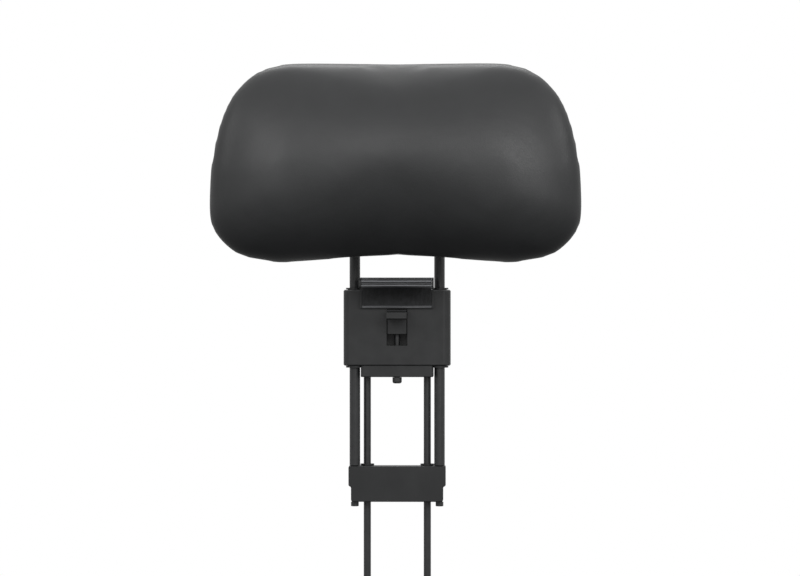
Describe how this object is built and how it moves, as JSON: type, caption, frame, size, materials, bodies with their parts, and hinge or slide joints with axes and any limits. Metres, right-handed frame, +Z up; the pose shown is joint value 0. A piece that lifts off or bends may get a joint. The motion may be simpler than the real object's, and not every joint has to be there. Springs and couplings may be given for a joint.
{
  "type": "office chair headrest attachment",
  "caption": "Padded headrest on a two-pivot arm and sliding posts, carried by a bracket that hooks over a chair back's top rim and by rods clamped to its spine.",
  "frame": {"origin": "middle of the rim seat: the face of the hook's rubber liner that rests on top of the chair back's rim", "axes": "+Z up along the posts; the pad faces -Y, the way the person sitting in the chair faces; +X is the person's left-hand side"},
  "size_m": [0.3244, 0.1381, 0.6359],
  "materials": {
    "soft_leather": "fine-grained black leather",
    "pad_foam": "open-cell foam",
    "pad_board": "birch plywood",
    "moulded_shell": "textured black polypropylene",
    "black_plastic": "black glass-filled nylon",
    "black_acetal": "black acetal",
    "cast_aluminium": "black powder-coated casting",
    "hook_aluminium": "black anodised extrusion",
    "coated_steel": "satin black coated steel",
    "zinc_steel": "bright zinc",
    "grip_rubber": "ribbed rubber"
  },
  "bodies": {
    "bracket": {"rim_hook": "hook_aluminium", "rim_hook_liner": "grip_rubber", "hook_end_cap_left": "black_plastic", "hook_end_cap_right": "black_plastic", "housing_cover": "black_plastic", "brake_shoe_left": "black_plastic", "brake_shoe_right": "black_plastic", "hook_screw_left": "zinc_steel", "hook_screw_right": "zinc_steel", "cover_screw_left": "zinc_steel", "cover_screw_right": "zinc_steel", "brake_spring_left": "zinc_steel", "brake_spring_right": "zinc_steel", "spine_screw_left": "zinc_steel", "spine_screw_right": "zinc_steel", "guide_housing": "cast_aluminium", "spine_clamp_back": "cast_aluminium", "spine_clamp_front": "cast_aluminium", "post_bush_upper_left": "black_acetal", "post_bush_upper_right": "black_acetal", "post_bush_lower_left": "black_acetal", "post_bush_lower_right": "black_acetal", "stay_rod_left": "coated_steel", "stay_rod_right": "coated_steel", "spine_pad_back": "grip_rubber", "spine_pad_front": "grip_rubber"},
    "jaw": {"rim_jaw": "cast_aluminium", "rim_jaw_pad": "grip_rubber"},
    "clamp_bolt": {"clamp_bolt": "coated_steel"},
    "slider": {"post_left": "coated_steel", "post_right": "coated_steel", "post_screw_left": "coated_steel", "post_screw_right": "coated_steel", "swing_pin": "coated_steel", "cross_block": "black_plastic", "cross_block_cover": "black_plastic", "block_cover_screw_left": "zinc_steel", "block_cover_screw_right": "zinc_steel", "bridge_screw_left": "zinc_steel", "bridge_screw_right": "zinc_steel", "stay_glide_left": "black_acetal", "stay_glide_right": "black_acetal", "top_bridge": "cast_aluminium"},
    "arm": {"swing_arm": "cast_aluminium", "swing_washer_left": "black_acetal", "swing_washer_right": "black_acetal", "tilt_pin": "coated_steel"},
    "pad": {"tilt_bracket": "cast_aluminium", "tilt_washer_left": "black_acetal", "tilt_washer_right": "black_acetal", "bracket_screw_upper_left": "zinc_steel", "bracket_screw_upper_right": "zinc_steel", "bracket_screw_lower_left": "zinc_steel", "bracket_screw_lower_right": "zinc_steel", "pad_cover": "soft_leather", "pad_foam": "pad_foam", "pad_board": "pad_board", "pad_back_shell": "moulded_shell"}
  },
  "joints": [
    {"name": "height_slide", "type": "slide", "parent": "bracket", "child": "slider", "axis": [0, 0, 1], "range_m": [0, 0.07]},
    {"name": "arm_swing", "type": "hinge", "parent": "slider", "child": "arm", "pos_m": [0, 0.00535, 0.072], "axis": [1, 0, 0], "range_deg": [-5, 20]},
    {"name": "pad_tilt", "type": "hinge", "parent": "arm", "child": "pad", "pos_m": [0, -0.00265, 0.106], "axis": [1, 0, 0], "range_deg": [-25, 10]},
    {"name": "jaw_slide", "type": "slide", "parent": "bracket", "child": "jaw", "axis": [0, 0, 1], "range_m": [-0.004, 0]},
    {"name": "clamp_bolt_turn", "type": "hinge", "parent": "jaw", "child": "clamp_bolt", "pos_m": [0, 0.0241, -0.0842], "axis": [0, 0, 1], "range_deg": [-1800, 0]}
  ],
  "couplings": [
    {"joint": "clamp_bolt_turn", "follows": "jaw_slide", "rad_per_m": 7850}
  ]
}
